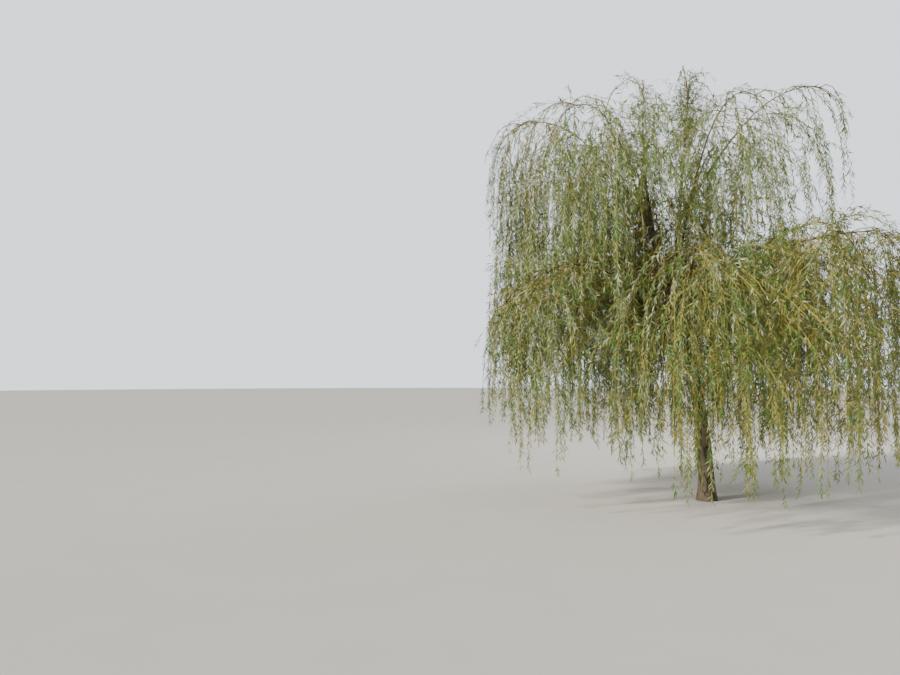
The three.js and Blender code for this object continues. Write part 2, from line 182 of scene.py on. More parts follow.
class Course:
    # A line through points, read by its share of the length
    def __init__(self, points):
        self.points = np.asarray(points, float)
        steps = np.linalg.norm(np.diff(self.points, axis=0), axis=1)
        self.reached = np.concatenate([[0], np.cumsum(steps)])
        self.length = float(self.reached[-1])

    def pointAt(self, share):
        distance = np.asarray(share, float) * self.length
        return np.stack([np.interp(distance, self.reached, self.points[:, i]) for i in range(3)], -1)

    def tangentAt(self, share):
        step = 0.002
        return unit(self.pointAt(min(1, share + step)) - self.pointAt(max(0, share - step)))


# Limbs, by the same rule as the solids
tall, lean = trunk["height"], trunk["lean"]
trunkCourse = Course(
    bezier(at(0, 0, 0), at(0, 0, 0.32 * tall), at(-0.3 * lean, 0, 0.7 * tall), at(-lean, 0.02, tall))
)
leaders = {
    side: Course(bezier(trunkCourse.pointAt(fork), *[at(*point) for point in points]))
    for side, fork, points in (
        ("left", 0.97, ((-0.58, 0.03, 3.1), (-0.78, 0.04, 4.0), (-0.69, 0.04, 5.41))),
        ("centre", 0.9, ((-0.36, -0.06, 2.95), (-0.23, 0, 4.0), (-0.11, 0, 5.485))),
    )
}


def heightOn(course, height):
    along = 0
    while along < 1 and course.pointAt(along)[2] < height:
        along += 0.005
    return along


def parentOf(tier, bearing):
    if tier == "low":
        return trunkCourse
    return leaders["centre"] if math.cos(math.radians(bearing)) > 0.2 else leaders["left"]


def boughCourse(tier, bearing, fork, crest, reach, turn):
    # Rises to its crest and falls to its reach in one smooth line
    axisX, axisY = tiers[tier]["axis"]
    out = heading(bearing)
    parent = parentOf(tier, bearing)
    root = parent.pointAt(heightOn(parent, fork))
    top = at(axisX, axisY, crest[1]) + out * crest[0]
    fall = reach - crest[0]
    end = at(axisX, axisY, crest[1] - arch["steepness"] * fall) + out * reach
    run = np.linalg.norm((top - root)[:2])
    rise = crest[1] - root[2]
    setOff = root + heading(bearing + turn) * arch["setOut"] * run + up * arch["setUp"] * rise
    first = bezier(root, setOff, top - out * arch["beforeCrest"] * run, top)
    second = bezier(top, top + out * arch["pastCrest"] * fall, end + up * arch["aboveTip"] * fall, end)
    return Course(np.concatenate([first, second[1:]]))


def spaceOf(tier, bearing, reach=math.inf):
    space = dict(tiers[tier], tier=tier)
    step = 360 / space["sectors"]
    space["outer"] = min(space["outer"], reach + crown["strandReach"])
    sector = math.floor((bearing - space["first"]) / step + 0.5)
    space["middle"] = math.radians(step * sector + space["first"])
    space["halfAngle"] = math.pi / space["sectors"]
    return space


def inside(space, points, margin=0.01, **faces):
    # Which points lie in a space. A margin below nought lets them out of that face by so much.
    side, below, above = [faces.get(face, margin) for face in ("side", "below", "above")]
    core = faces.get("core", side)
    points = np.atleast_2d(points)
    slopes = np.maximum(0, awayFrom(roof["axis"], points) - roof["flat"])
    roofHeight = roof["height"] - roof["slope"] * slopes
    if space["tier"] in ("top", "high"):
        floor = crown["topFloor"] if space["tier"] == "top" else roofHeight
        ceiling, above = crown["height"], max(above, 0.01)
    else:
        floor, below = crown["groundClearance"], max(below, 0.01)
        ceiling = roofHeight
    x, y = (points[:, :2] - space["axis"]).T
    radius = np.hypot(x, y)
    turn = np.arctan2(y, x) - space["middle"]
    aside = space["halfAngle"] - np.abs(np.arctan2(np.sin(turn), np.cos(turn)))
    fits = (points[:, 2] > floor + below) & (points[:, 2] < ceiling - above)
    fits &= radius < space["outer"] - margin
    if space["inner"]:
        fits &= radius > space["inner"] + core
    return fits & (radius * np.sin(np.minimum(aside, math.pi / 2)) > side)


def entryOf(course, space):
    along = 0.02
    while along < 0.95 and not inside(space, course.pointAt(along), 0.02)[0]:
        along += 0.005
    return along


limbs = []  # name, course, share where the foliage's space begins, radius at root and there
masses = []  # what hangs from each limb
stretches = []  # (from, to, radius) of the limbs' axes, which foliage keeps clear of


def keepClearOf(stations, radii):
    stretches.extend(zip(stations, stations[1:], np.maximum(radii[1:], radii[:-1])))


def trunkRadius(along):
    return mix(trunk["footRadius"] / (1 + trunk["flareSwell"]), trunk["forkRadius"], along**0.8)


def addLimb(names, course, entry, space, stations, hem, shoots):
    shares = np.linspace(0, 1, stations)
    keepClearOf(course.pointAt(shares * entry), mix(*space["limb"], shares))
    limbs.append(dict(name=names[0], course=course, entry=entry, ends=space["limb"]))
    masses.append(dict(name=names[1], course=course, entry=entry, space=space, hem=hem, shoots=shoots))


trunkShares = (np.arange(16) / 15) ** 1.5
keepClearOf(trunkCourse.pointAt(trunkShares), trunkRadius(trunkShares))
for side, course in leaders.items():
    space = spaceOf("top", 180 if side == "left" else 0)
    entry = heightOn(course, crown["topFloor"] + 0.02)
    addLimb(("leader_" + side, "foliage_top_" + side), course, entry, space, 9, 0, topShoots[side])
draw = seeded(crown["boughSeed"])
for tier, side, bearing, fork, crest, reach, hem, shoots in boughs:
    course = boughCourse(tier, bearing, fork, crest, reach, crown["boughTurn"] * (draw() - 0.5))
    space = spaceOf(tier, bearing, reach)
    names = ("bough_%s_%s" % (tier, side), "foliage_%s_%s" % (tier, side))
    addLimb(names, course, entryOf(course, space), space, 7, hem, shoots)
print("limbs: %d" % (len(limbs) + 1))

# Main strands, as in the solids
strand = {
    "steps": 24,
    "wander": 0.12,
    "stemGap": 0.0003,  # between a limb's tip and its mass's stem
    "shortest": 0.5,
    "tries": 12,
    "hemVaries": 0.3,
    "foot": 0.06,  # the share of a stem, next to its limb, that bears none
    "leafRoom": 0.45,  # kept free under a strand's tip
    "leafPitch": 0.5,
    "testPitch": 0.02,
    "clearance": 0.0125,
    "radius": (0.0062, 0.0026),
}
axisFrom, axisTo, axisThick = [np.array(column) for column in zip(*stretches)]
axisAlong = axisTo - axisFrom


def clearOfLimbs(points, clearance):
    toPoint = points[:, None, :] - axisFrom[None]
    share = np.clip((toPoint * axisAlong).sum(-1) / (axisAlong**2).sum(-1), 0, 1)
    nearest = np.linalg.norm(toPoint - share[..., None] * axisAlong, axis=-1)
    return bool((nearest > axisThick + clearance).all())


def weep(start, direction, length, droop, draw, steps=strand["steps"]):
    # A shoot sets off in one direction and bends over until it hangs
    step = length / steps
    x, y, z = direction
    points = [tuple(start)]
    for i in range(steps):
        x += (draw() - 0.5) * strand["wander"]
        y += (draw() - 0.5) * strand["wander"]
        z -= droop * step
        size = math.sqrt(x * x + y * y + z * z)
        x, y, z = x / size, y / size, z / size
        last = points[-1]
        points.append((last[0] + x * step, last[1] + y * step, last[2] + z * step))
    return np.array(points)


def stepsBefore(outside):
    # The steps of a line up to one before the first that is outside
    return max(0, int(np.argmax(outside)) - 1) if outside.any() else len(outside) - 1


def usableSteps(points, space, hem, room, **faces):
    # The steps that stay in the space with room for a leaf under them
    tips = points - up * room
    return stepsBefore(~(inside(space, points, **faces) & inside(space, tips, **faces) & (tips[:, 2] >= hem)))


def passLeafDraws(length, draw):
    # Keeps in step with the solids, where each leaf draws five numbers
    for i in range(1 + 5 * int(math.floor(length / strand["leafPitch"] + 0.5)) + 3):
        draw()


def setOff(course, entry, space, i, draw):
    share = ((i % space["strands"]) + draw()) / space["strands"]
    away = math.radians(mix(*space["spread"], draw())) * (1 - 0.4 * share) * (1 if i % 2 else -1)
    climb = math.radians(mix(*space["lift"], draw()))
    along = mix(entry, 1, strand["foot"] + (1 - strand["foot"]) * share)
    flat = course.tangentAt(along) * at(1, 1, 0)
    bearing = math.degrees(math.atan2(flat[1], flat[0]) + away)
    ahead = heading(i * spiralTurn if space["tier"] == "top" else bearing)
    return course.pointAt(along), aimed(ahead, climb), mix(*space["droop"], draw())


def growStrands(mass, seed):
    draw = seeded(seed)
    course, space = mass["course"], mass["space"]
    start = mass["entry"] + strand["stemGap"] / course.length
    stem = Course(course.pointAt(np.linspace(start, 1, 7)[1:]))
    passLeafDraws(stem.length, draw)
    strands, tips = [], []
    for i in range(strand["tries"] * space["strands"]):
        if len(tips) == space["strands"]:
            break
        root, direction, droop = setOff(course, start, space, i, draw)
        hem = mass["hem"] + strand["hemVaries"] * draw()
        points = weep(root, direction, space["length"], droop, draw)
        steps = usableSteps(points, space, hem, strand["leafRoom"])
        tip = points[steps]
        if steps / strand["steps"] * space["length"] < strand["shortest"]:
            continue
        if any(math.hypot(*(other - tip)[:2]) < space["apart"] for other in tips):
            continue
        kept = Course(points[[s for s in (0, 3, 7) if s < steps - 1] + [steps]])
        tests = math.ceil(kept.length / strand["testPitch"])
        if not clearOfLimbs(kept.pointAt(np.arange(2, tests + 1) / tests), strand["clearance"]):
            continue
        tips.append(tip)
        strands.append(points[: steps + 1])
        passLeafDraws(kept.length, draw)
    return strands


for i, mass in enumerate(masses):
    mass["strands"] = growStrands(mass, crown["firstMassSeed"] + i)
print("main strands: %d" % sum(len(mass["strands"]) for mass in masses))

# Fine shoots, by the same rule, and their side shoots
fine = {
    "length": {"low": (2.4, 3.4), "inner": (2.0, 3.4), "high": (1.3, 4.0), "top": (0.3, 1.5)},
    "shortest": {"low": 0.2, "inner": 0.2, "high": 0.2, "top": 0.12},
    "tries": 9,
    "apart": 0.045,
    "droop": {"low": (1.4, 6), "inner": (1.4, 6), "high": (1.0, 5), "top": (0.8, 4)},
    "lift": {"low": (-30, 55), "inner": (-25, 60), "high": (-30, 38), "top": (60, 89)},
    "spread": (15, 115),  # degrees away from what it leaves
    "leafRoom": 0.06,
    "hemVaries": 1.75,
    "edgeGap": 0.09,  # kept free inside a space's outer face
    # How far shoots may cross a space's sides and its inner face, rise above it and hang out under it,
    # there first on the right and then on the left
    "crosses": {"low": 0.4, "inner": 0.4, "high": 0.5, "top": 0.25},
    "comesIn": 0.6,
    "rises": {"low": 0.7, "inner": 0.7, "high": 0, "top": 0},
    "hangs": {"low": (0, 0), "inner": (0, 0), "high": (1.0, 2.9), "top": (1.2, 1.2)},
    "archRise": (0.0, 0.12),  # of shoots over the crest of a high bough
    "plumeRise": 0.1,  # over a leader's tip
    "plumeSlope": 2.2,  # its fall for each metre outwards
    "clearance": 0.006,
    "radius": (0.0032, 0.0014),
    "boxGap": 0.05,  # between the twigs and the sides of the solids' box
    "stemWeight": 1.6,  # how many more spring from a stem than from as long a strand
    "sideShoots": 1.3,  # to each shoot, on average
    "sideFrom": (0.1, 0.85),  # the stretch of a shoot where they spring
    "sideLength": (0.12, 0.42),
    "sideClimb": (-50, 40),
    "sideAhead": 0.6,  # how much they lean along their shoot
    "sideDroop": 4,
    "sideSteps": 4,
    "sideRadius": (0.0016, 0.001),
    "topLength": (0.2, 0.55),  # the longest at the crown's top, and more for each metre under it
    "golden": 0.45,  # the share of shoots with golden bark
    "firstSeed": 411,
}


def stepsInBox(points):
    low, high = np.array(solidBox[0]) + fine["boxGap"], np.array(solidBox[1]) - fine["boxGap"]
    return stepsBefore(((points < low) | (points > high)).any(axis=1))


def stepsUnder(points, ceiling):
    above = points[:, 2] > ceiling
    above[0] = False
    return stepsBefore(above)


# The opening in the front curtain, where the dark limbs at the fork show: an oval tunnel
gap = {
    "middle": (-0.5, 3.26),  # across and up, at the limbs
    "slope": (-0.055, 0.186),  # of its axis, which runs forwards and slightly down
    "half": (0.31, 0.66),  # of its width and height
    "back": -0.12,  # where it starts
    "spares": 0.2,  # the share of shoots that hang across it
}


def stepsToGap(points, chance=1):
    # The steps before a shoot hides the limbs at the fork. Those with a low chance are spared.
    away = [
        (points[:, i] - middle - slope * points[:, 1]) / half
        for i, middle, slope, half in zip((0, 2), gap["middle"], gap["slope"], gap["half"])
    ]
    hides = (points[:, 1] < gap["back"]) & (np.hypot(*away) < 1)
    return stepsBefore(hides & (chance >= gap["spares"]))


def facesOf(space, draw):
    # How near to each face of its space a shoot may come
    tier = space["tier"]
    leftward = (1 - math.cos(space["middle"])) / 2
    return {
        "margin": fine["edgeGap"],
        "side": -fine["crosses"][tier] * draw(),
        "below": 0.01 - mix(*fine["hangs"][tier], leftward) * draw() ** 0.7,
        "above": 0.01 - fine["rises"][tier] * draw(),
        "core": -fine["comesIn"] * draw(),
    }


def growFine(mass, seed):
    draw = seeded(seed)
    space = mass["space"]
    tier = space["tier"]
    stem = mass["course"].pointAt(np.linspace(mass["entry"], 1, 25))
    parents = [Course(points) for points in (stem, *mass["strands"])]
    weights = np.cumsum([parents[0].length * fine["stemWeight"]] + [parent.length for parent in parents[1:]])
    peak, crest = mass["course"].pointAt(1), mass["course"].points[:, 2].max()
    shoots, tips = [], []
    for i in range(fine["tries"] * mass["shoots"]):
        if len(shoots) >= mass["shoots"]:
            break
        chance = i * spiralShare % 1
        parent = parents[int(np.searchsorted(weights, draw() * weights[-1]))]
        along = draw() ** 1.25 * 0.97 + 0.02
        if tier == "top":
            along = 1.01 - along
        tangent = parent.tangentAt(along)
        bearing = math.degrees(math.atan2(tangent[1], tangent[0]))
        if tangent[2] < -0.9 or tier == "top":
            bearing = 360 * draw()
        away = mix(*fine["spread"], draw()) * (1 if i % 2 else -1)
        climb = math.radians(mix(*fine["lift"][tier], draw() ** 1.2))
        droop = mix(*fine["droop"][tier], draw())
        hem = mass["hem"] + fine["hemVaries"] * draw() ** 0.9
        faces = facesOf(space, draw)
        direction = aimed(heading(bearing + away), climb)
        root = parent.pointAt(along)
        length = mix(*fine["length"][tier], draw())
        if tier == "top":
            atTop, perMetre = fine["topLength"]
            length = min(length, atTop + perMetre * (crown["height"] - root[2]))
        points = weep(root, direction, length, droop, draw)
        # The crown narrows to a point over each leader, and stays near the crests of the high boughs
        ceiling = math.inf
        if tier == "top":
            ceiling = peak[2] + fine["plumeRise"] - fine["plumeSlope"] * awayFrom(peak[:2], points)
        elif tier == "high":
            ceiling = crest + mix(*fine["archRise"], chance)
        steps = min(stepsInBox(points), stepsUnder(points, ceiling), stepsToGap(points, chance))
        steps = min(steps, usableSteps(points, space, hem, fine["leafRoom"], **faces))
        if steps / strand["steps"] * length < fine["shortest"][tier]:
            continue
        tip = points[steps]
        if any(abs(o[0] - tip[0]) < fine["apart"] and math.dist(o, tip) < fine["apart"] for o in tips):
            continue
        if not clearOfLimbs(points[1 : steps + 1], fine["clearance"]):
            continue
        tips.append(tuple(tip))
        shoots.append(points[: steps + 1])
    return shoots


def growSides(shoots, seed):
    draw = seeded(seed)
    sides = []
    for points in shoots:
        parent = Course(points)
        for i in range(int(fine["sideShoots"] + draw())):
            along = mix(*fine["sideFrom"], draw())
            bearing = 360 * draw()
            climb = math.radians(mix(*fine["sideClimb"], draw()))
            length = mix(*fine["sideLength"], draw())
            direction = aimed(heading(bearing), climb) + parent.tangentAt(along) * fine["sideAhead"]
            root, steps = parent.pointAt(along), fine["sideSteps"]
            grown = weep(root, unit(direction), length, fine["sideDroop"], draw, steps)
            if min(stepsInBox(grown), stepsToGap(grown)) == steps:
                sides.append(grown)
    return sides


# Shoots that spring from the bare wood inside the crown: long golden ones sweep out and down through the
# curtain, and short ones close the middle of the tree
wood = {
    "leaderShare": 5,  # how many more a leader bears than a bough
    "stretch": (0.1, 0.9),  # of a limb, where they spring
    "middle": (-0.3, 0.0),
    "within": 1.7,  # how far from there they start
    "parts": (-0.35, 0.0),  # they head away from here
    "fewest": 7,  # steps of a shoot
}
# With the heights where they start, and their ceiling at the middle and its fall for each metre outwards
fountain = dict(
    seed=900, count=430, heights=(2.5, 3.9), length=(1.7, 3.4), droop=(0.15, 0.75), lift=(-35, 20),
    hem=(0.5, 1.9), reach=2.6, ceiling=(4.2, 0.45), radius=(0.0055, 0.003), leafiness=0.35,
)
filling = dict(
    seed=910, count=440, heights=(2.2, 4.7), length=(0.5, 2.3), droop=(1.5, 6), lift=(-20, 55),
    hem=(0.5, 2.4), reach=2.3, ceiling=(4.9, 0.2),
)


def growFromWood(rule):
    draw = seeded(rule["seed"])
    parents = [limb["course"] for limb in limbs[:2] * wood["leaderShare"] + limbs[2:]]
    grown = []
    while len(grown) < rule["count"]:
        parent = parents[int(draw() * len(parents))]
        root = parent.pointAt(mix(*wood["stretch"], draw()))
        low, high = rule["heights"]
        bearing, climb = 360 * draw(), math.radians(mix(*rule["lift"], draw()))
        length, droop = mix(*rule["length"], draw()), mix(*rule["droop"], draw())
        hem = mix(*rule["hem"], draw())
        if not low < root[2] < high or math.dist(root[:2], wood["middle"]) > wood["within"]:
            continue
        out = unit((root - at(*wood["parts"], 0)) * at(1, 1, 0) + heading(bearing) * 0.5)
        points = weep(root, aimed(out, climb), length, droop, draw)
        reach = awayFrom(crown["lowAxis"], points)
        ceiling = rule["ceiling"][0] - rule["ceiling"][1] * reach
        outside = (reach > rule["reach"]) | (points[:, 2] < hem) | (points[:, 2] > ceiling)
        chance = len(grown) * spiralShare % 1
        steps = min(stepsBefore(outside), stepsInBox(points), stepsToGap(points, chance))
        if steps > wood["fewest"]:
            grown.append(points[: steps + 1])
    return grown


shoots, sideShoots = [], []
for i, mass in enumerate(masses):
    grown = growFine(mass, fine["firstSeed"] + i)
    shoots += grown
    sideShoots += growSides(grown, fine["firstSeed"] + 100 + i)
fountains = growFromWood(fountain)
fillings = growFromWood(filling)
shoots += fillings
sideShoots += growSides(fillings, filling["seed"] + 1)
together = sum(Course(line).length for line in shoots + sideShoots)
print("fine shoots: %d, side shoots: %d, together %.0f m" % (len(shoots), len(sideShoots), together))


# Node trees
def sums(operation):
    # An operation with the wire as its first term, and as its second
    return (
        lambda wire, other: wire.graph.maths(operation, wire, other),
        lambda wire, other: wire.graph.maths(operation, other, wire),
    )


class Wire:
    # One output of a node, which takes part in sums
    def __init__(self, graph, socket):
        self.graph = graph
        self.socket = socket

    __add__, __radd__ = sums("ADD")
    __sub__, __rsub__ = sums("SUBTRACT")
    __mul__, __rmul__ = sums("MULTIPLY")
    __truediv__, __rtruediv__ = sums("DIVIDE")
    __gt__, __lt__ = sums("GREATER_THAN")


class Graph:
    def __init__(self, tree):
        self.tree = tree

    def node(self, kind, values=None, output=0, **settings):
        made = self.tree.nodes.new(kind)
        for name, value in settings.items():
            setattr(made, name, value)
        for name, value in (values or {}).items():
            socket = self.find(made.inputs, name)
            if isinstance(value, Wire):
                self.tree.links.new(value.socket, socket)
            else:
                socket.default_value = value
        return Wire(self, self.find(made.outputs, output)) if made.outputs else made

    def find(self, sockets, name):
        if isinstance(name, int):
            return sockets[name]
        return next(s for s in sockets if s.name == name and s.enabled)

    def maths(self, operation, *terms):
        # Vector maths as soon as one term is a vector
        plain = all(not isinstance(term, Wire) or term.socket.type != "VECTOR" for term in terms)
        kind, output = "ShaderNodeMath" if plain else "ShaderNodeVectorMath", int(operation == "DOT_PRODUCT")
        return self.node(kind, dict(enumerate(terms)), output, operation=operation)

    def triple(self, x, y, z):
        return self.node("ShaderNodeCombineXYZ", {"X": x, "Y": y, "Z": z})

    def blend(self, share, a, b):
        return self.node("ShaderNodeMix", {"Factor": share, "A": a, "B": b}, "Result", data_type="RGBA")


def paint(code):
    # A colour as it is seen on a screen, made linear
    parts = [int(code[i : i + 2], 16) / 255 for i in (0, 2, 4)]
    return tuple(p / 12.92 if p <= 0.04045 else ((p + 0.055) / 1.055) ** 2.4 for p in parts) + (1.0,)


def newObject(name, data):
    made = bpy.data.objects.new(name, data)
    bpy.context.scene.collection.objects.link(made)
    return made


def newMaterial(name, build, constants):
    material = bpy.data.materials.new(name)
    material.use_nodes = True
    graph = Graph(material.node_tree)
    shader = material.node_tree.nodes["Principled BSDF"]
    for socket, value in constants.items():
        shader.inputs[socket].default_value = value
    for socket, wire in build(graph).items():
        material.node_tree.links.new(wire.socket, shader.inputs[socket])
    return material


def noise(graph, place, scale, detail=3.0, roughness=0.55):
    values = {"Vector": place, "Scale": scale, "Detail": detail, "Roughness": roughness}
    return graph.node("ShaderNodeTexNoise", values)


def between(graph, value, low, high):
    values = {"Value": value, "From Min": low, "From Max": high}
    return graph.node("ShaderNodeMapRange", values, clamp=True)


def mottled(name, tones, finish, gloss):
    # Two tones in large and small patches, and a roughness that follows the small ones
    def build(graph):
        place = graph.node("ShaderNodeTexCoord", output="Object")
        slow, fast = [between(graph, noise(graph, place, scale, 2), 0.3, 0.7) for scale in finish["patches"]]
        smoothest, rougher = finish["roughness"]
        colour = graph.blend(mix(slow, fast, finish["smallPatches"]), *tones)
        return {"Base Color": colour, "Roughness": fast * rougher + smoothest}

    return newMaterial(name, build, {"Specular IOR Level": gloss})


def store(mesh, **columns):
    # Numbers or vectors on a mesh's points, for node trees to read
    for label, rows in columns.items():
        rows = np.array(rows, np.float32)
        kind, field = ("FLOAT", "value") if rows.ndim == 1 else ("FLOAT_VECTOR", "vector")
        mesh.attributes.new(label, kind, "POINT").data.foreach_set(field, rows.ravel())


# Bark
bark = {
    # Pitch between rings, depth of the fissures, and their cells round the wood and to a metre along it
    "trunk": {"sides": 92, "pitch": 0.0165, "depth": 0.008, "cells": (24, 5)},
    "leader": {"sides": 30, "pitch": 0.016, "depth": 0.0028, "cells": (14, 6)},
    "bough": {"sides": 10, "pitch": 0.032, "depth": 0.0011, "cells": (8, 14)},
    "collar": 0.5,  # how much a bough swells where it leaves its parent
    "collarFrom": 0.07,  # from its parent's axis
    "collarLength": 0.07,
    "leaderCollar": 0.2,
    "leaderCollarLength": 0.2,
    "leaderRadius": 0.052,  # of the left one, which runs on from the trunk
    "tipRadius": 0.0028,
    "old": paint("766857"),
    "oldPale": paint("968774"),
    "young": paint("6c5d38"),
    # the dark brown painted into the fissures and fine cracks as their shade
    "furrow": paint("332a20"),
    "lichen": paint("80856c"),
    "roughness": 0.76,  # at its smoothest
    "seed": 7,
}


def wrappedNoise(around, along, cells, seed):
    # Smooth noise that closes on itself round a limb
    table = np.random.default_rng(seed).random((int(along.max() * cells[1]) + 3, cells[0]))
    a, b = around * cells[0], along * cells[1]
    i, j = np.floor(a).astype(int), np.floor(b).astype(int)
    u, v = a - i, b - j
    u, v = u * u * (3 - 2 * u), v * v * (3 - 2 * v)
    left, right = i % cells[0], (i + 1) % cells[0]
    lower = mix(table[j, left], table[j, right], u)
    upper = mix(table[j + 1, left], table[j + 1, right], u)
    return mix(lower, upper, v)


def fissures(around, along, cells, seed):
    # 1 in the depth of a fissure and 0 on the ridges between them
    bend = wrappedNoise(around, along, (max(4, cells[0] // 3), cells[1] * 2), seed + 1) - 0.5
    first = wrappedNoise(around + bend * 0.9 / cells[0], along, cells, seed + 2)
    second = wrappedNoise(around, along, (cells[0] * 2, cells[1] * 3), seed + 3)
    deep = np.clip(1 - np.abs(2 * first - 1) * 2.9, 0, 1) ** 1.3
    shallow = np.clip(1 - np.abs(2 * second - 1) * 2.2, 0, 1) ** 2
    return np.clip(deep + 0.35 * shallow, 0, 1.2)


class Skin:
    # Collects bent tubes into one mesh, with what the material reads
    def __init__(self):
        self.verts, self.faces, self.grain, self.furrow, self.age = [], [], [], [], []
        self.count = 0

    def tube(self, course, radiusAt, wood, seed, swell=None, flatFoot=False):
        sides = wood["sides"]
        rings = max(4, int(course.length / wood["pitch"]))
        shares = np.linspace(0, 1, rings + 1)
        middles = course.pointAt(shares)
        tangents = waysAlong(middles)
        if flatFoot:
            tangents[0] = up
        across = unit(np.cross(tangents[0], at(0, 1, 0) if abs(tangents[0][1]) < 0.9 else at(1, 0, 0)))
        angles = np.arange(sides) / sides * 2 * math.pi
        radii = radiusAt(shares)
        around, along = np.meshgrid(np.arange(sides) / sides, shares * course.length)
        furrow = fissures(around, along, wood["cells"], seed)
        size = radii[:, None] - np.minimum(wood["depth"], 0.16 * radii)[:, None] * furrow
        turns = np.stack([np.cos(angles), np.sin(angles)], -1)
        for i in range(rings + 1):
            across = unit(across - tangents[i] * across.dot(tangents[i]))
            aside = np.cross(tangents[i], across)
            spoke = turns[:, :1] * across + turns[:, 1:] * aside
            factor = swell(spoke, middles[i][2]) if swell else 1
            self.verts.append(middles[i] + spoke * (size[i] * factor)[:, None])
        flat = turns * np.maximum(radii, 0.01)[:, None, None]
        self.grain.append(np.concatenate([flat, along[..., None] + seed], -1).reshape(-1, 3))
        self.furrow.append(furrow.ravel())
        self.age.append(np.repeat(np.clip((radii - 0.012) / 0.05, 0, 1), sides))
        self.addFaces(rings, sides)

    def addFaces(self, rings, sides):
        # Quads from ring to ring, and a lid on either end
        for low in range(self.count, self.count + rings * sides, sides):
            for k in range(sides):
                n = (k + 1) % sides
                self.faces.append((low + k, low + n, low + sides + n, low + sides + k))
        self.faces.append(tuple(range(self.count + sides - 1, self.count - 1, -1)))
        self.count += (rings + 1) * sides
        self.faces.append(tuple(range(self.count - sides, self.count)))

    def finish(self, name):
        mesh = bpy.data.meshes.new(name)
        mesh.from_pydata(np.concatenate(self.verts).tolist(), [], self.faces)
        grain, furrow, age = [np.concatenate(rows) for rows in (self.grain, self.furrow, self.age)]
        store(mesh, grain=grain, furrow=furrow, age=age)
        mesh.polygons.foreach_set("use_smooth", [True] * len(mesh.polygons))
        return newObject(name, mesh)


def flaredFoot(spoke, height):
    # The root flare's lobes lie at fixed bearings, whichever way the rings are turned
    foot = math.exp(-height / trunk["flareHeight"])
    bearing = np.arctan2(spoke[:, 0], -spoke[:, 1])
    lobes = trunk["lobeDepth"] * np.cos(trunk["flareLobes"] * bearing + 0.6)
    return 1 + foot * (trunk["flareSwell"] + lobes)


def buildTrunk():
    # The trunk runs on into the left leader, and the other one springs from its side
    skin = Skin()
    left, centre = limbs[:2]
    lower = trunkCourse.pointAt(np.linspace(0, 0.93, 160))
    upper = left["course"].pointAt(np.linspace(0.012, 1, 260))
    course = Course(np.concatenate([lower, upper]))
    forkAt = 0.95 * trunkCourse.length
    join = forkAt / course.length
    entry = (forkAt + left["course"].length * left["entry"]) / course.length

    def radiusAt(shares):
        below = trunkRadius(np.clip(shares / join, 0, 1))
        radii = [bark["leaderRadius"], left["ends"][1], bark["tipRadius"]]
        above = np.interp(shares, [join, entry, 1], radii)
        return mix(below, above, np.clip((shares - join + 0.02) / 0.05, 0, 1))

    skin.tube(course, radiusAt, bark["trunk"], bark["seed"], flaredFoot, True)

    def centreRadius(shares):
        plain = np.interp(shares, [0, centre["entry"], 1], [*centre["ends"], bark["tipRadius"]])
        past = shares * centre["course"].length / bark["leaderCollarLength"]
        return plain * (1 + bark["leaderCollar"] * np.exp(-past))

    skin.tube(centre["course"], centreRadius, bark["leader"], bark["seed"] + 10)
    return skin.finish("bark_trunk")


def buildBoughs():
    skin = Skin()
    for i, limb in enumerate(limbs[2:]):
        length = limb["course"].length

        def radiusAt(shares):
            outer, entry = limb["ends"][1], limb["entry"]
            thin = mix(outer, bark["tipRadius"], np.clip((shares - entry) / (1 - entry), 0, 1) ** 0.7)
            thick = mix(limb["ends"][0], outer, np.clip(shares / entry, 0, 1))
            past = np.maximum(0, shares * length - bark["collarFrom"]) / bark["collarLength"]
            return np.where(shares < entry, thick, thin) * (1 + bark["collar"] * np.exp(-past))

        skin.tube(limb["course"], radiusAt, bark["bough"], bark["seed"] + 20 + i)
    return skin.finish("bark_boughs")


def barkColour(graph):
    grain, furrow, age = [
        graph.node("ShaderNodeAttribute", output=output, attribute_name=label)
        for label, output in (("grain", "Vector"), ("furrow", "Fac"), ("age", "Fac"))
    ]
    stretched = grain * (1.0, 1.0, 0.18)
    streaks = noise(graph, stretched, 70, 4)
    fineGrain = noise(graph, stretched, 150, 3, 0.65)
    cracks = between(graph, fineGrain, 0.47, 0.38) * between(graph, age, 0.1, 0.6)
    patches = noise(graph, grain, 9, 3)
    old = graph.blend(between(graph, streaks, 0.35, 0.7), bark["old"], bark["oldPale"])
    body = graph.blend(between(graph, age + (patches - 0.5) * 0.4, 0.05, 0.5), bark["young"], old)
    spotted = graph.blend(between(graph, patches, 0.6, 0.72) * 0.45, body, bark["lichen"])
    # Painted shade in the fine cracks of old bark, in the fissures' dark brown
    crackShaded = graph.blend(cracks * 0.6, spotted, bark["furrow"])
    # Painted shade: darker towards the depth of each fissure
    colour = graph.blend(between(graph, furrow, 0.15, 0.85) * 0.8, crackShaded, bark["furrow"])
    rough = between(graph, streaks, 0, 1) * 0.2 + bark["roughness"]
    relief = {"Strength": 0.6, "Distance": 0.004, "Height": streaks - cracks * 0.5}
    bump = graph.node("ShaderNodeBump", relief)
    return {"Base Color": colour, "Roughness": rough, "Normal": bump}


barkMaterial = newMaterial("willow bark", barkColour, {"Specular IOR Level": 0.25})
barkTrunk = buildTrunk()
barkBoughs = buildBoughs()
for piece in (barkTrunk, barkBoughs):
    piece.data.materials.append(barkMaterial)
print("bark: %d faces" % (len(barkTrunk.data.polygons) + len(barkBoughs.data.polygons)))


